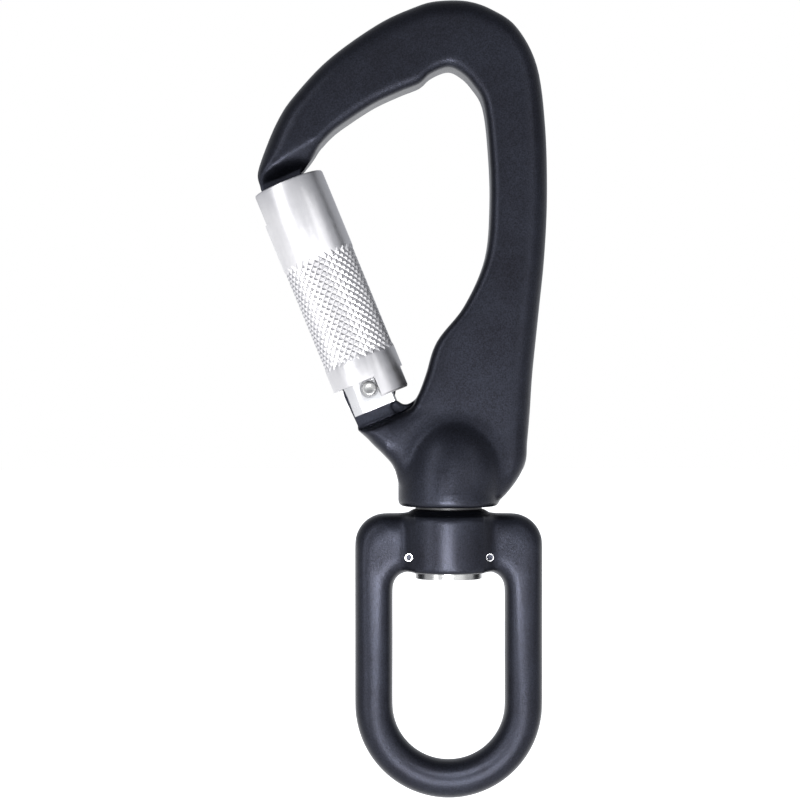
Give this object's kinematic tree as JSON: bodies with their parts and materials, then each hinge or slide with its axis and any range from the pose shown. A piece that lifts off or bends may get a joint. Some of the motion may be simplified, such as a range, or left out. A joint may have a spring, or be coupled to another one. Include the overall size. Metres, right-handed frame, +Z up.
{
  "type": "swivel carabiner",
  "caption": "Swivel carabiner: an offset hook with a sprung gate and a twist-lock sleeve, over a ball-bearing swivel with an oblong eye.",
  "frame": {"origin": "the point inside the hook's basket where a load bears, on the swivel's axis", "axes": "+Z up the swivel's axis, +X from the gate to the spine, Y through the thickness"},
  "size_m": [0.0639, 0.0222, 0.175],
  "materials": {
    "black_anodised": "bead-blasted black anodise, semi-matt",
    "silver_anodised": "satin clear anodise, knurled band",
    "bright_steel": "turned and tumbled",
    "pin_steel": "ground",
    "spring_steel": "drawn wire",
    "race_steel": "polished",
    "bronze": "turned",
    "washer_polymer": "machined black acetal",
    "seal_rubber": "matt"
  },
  "bodies": {
    "hook": {"hook_body": "black_anodised", "swivel_shaft": "bright_steel", "thrust_washer": "washer_polymer", "lower_race": "race_steel"},
    "gate": {"gate": "bright_steel", "gate_pin": "pin_steel", "gate_spring": "spring_steel", "sleeve_ring": "spring_steel", "sleeve_spring": "spring_steel"},
    "plunger": {"gate_plunger": "bronze"},
    "sleeve": {"locking_sleeve": "silver_anodised"},
    "eye": {"swivel_eye": "black_anodised", "hub_bush": "bronze", "upper_race": "race_steel", "bearing_cap": "pin_steel", "cap_seal": "seal_rubber", "roll_pins": "pin_steel"},
    "balls": {"bearing_balls": "race_steel", "ball_cage": "bronze"}
  },
  "joints": [
    {"name": "swivel", "type": "hinge", "parent": "hook", "child": "eye", "pos_m": [0, 0, -0.1], "axis": [0, 0, 1], "continuous": true},
    {"name": "cage_spin", "type": "hinge", "parent": "hook", "child": "balls", "pos_m": [0, 0, -0.1], "axis": [0, 0, 1], "continuous": true},
    {"name": "gate_swing", "type": "hinge", "parent": "hook", "child": "gate", "pos_m": [-0.0174, 0, -0.0701], "axis": [0, 1, 0], "range_deg": [0, 38], "stiffness_Nm_per_rad": 0.12, "springref_deg": -14.32},
    {"name": "plunger_slide", "type": "slide", "parent": "gate", "child": "plunger", "axis": [-0.3811, 0, 0.9245], "range_m": [0, 0.0018], "deforming": ["gate_spring"]},
    {"name": "sleeve_twist", "type": "hinge", "parent": "gate", "child": "sleeve", "pos_m": [-0.01694, 0, -0.06991], "axis": [-0.3811, 0, 0.9245], "range_deg": [0, 95], "stiffness_Nm_per_rad": 0.004, "springref_deg": 110.01, "deforming": ["sleeve_spring"]}
  ],
  "couplings": [
    {"joint": "cage_spin", "follows": "swivel", "ratio": 0.5},
    {"joint": "plunger_slide", "follows": "gate_swing", "m_per_rad": 0.0024124}
  ]
}
